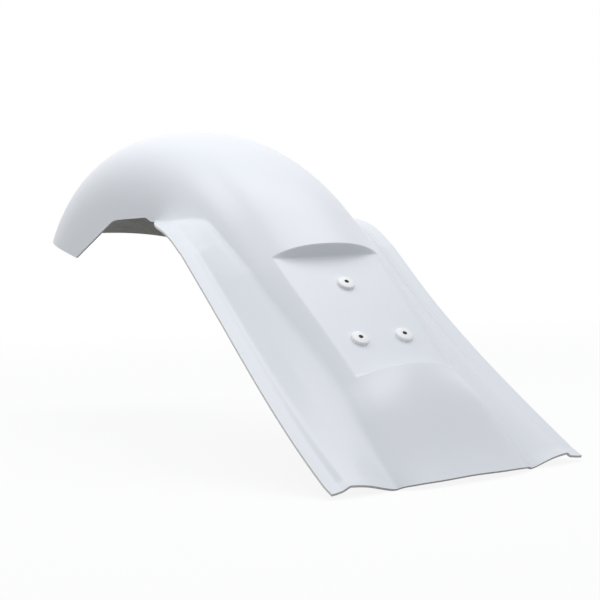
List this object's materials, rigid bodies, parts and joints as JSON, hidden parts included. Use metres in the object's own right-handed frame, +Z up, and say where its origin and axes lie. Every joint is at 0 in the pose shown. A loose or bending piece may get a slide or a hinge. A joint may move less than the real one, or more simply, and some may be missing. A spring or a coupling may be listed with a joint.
{
  "type": "motorcycle rear fender",
  "caption": "Stretched one-piece rear fender: crowned wheel arch, long tail with a recessed panel, stepped side wings and round bonded inserts.",
  "frame": {"origin": "mouth of the hole in the top insert, on the tail's recessed panel", "axes": "+X to the rider's right, +Y to the front of the motorcycle, +Z up with the fender as it is carried, tail sloping down to the rear"},
  "size_m": [0.314, 0.9088, 0.393],
  "materials": {
    "gelcoat": "pale satin gelcoat over fibre laminate",
    "insert_white": "moulded white"
  },
  "bodies": {
    "root": {"fender_shell": "gelcoat", "insert_top": "insert_white", "insert_left": "insert_white", "insert_right": "insert_white"}
  },
  "joints": []
}
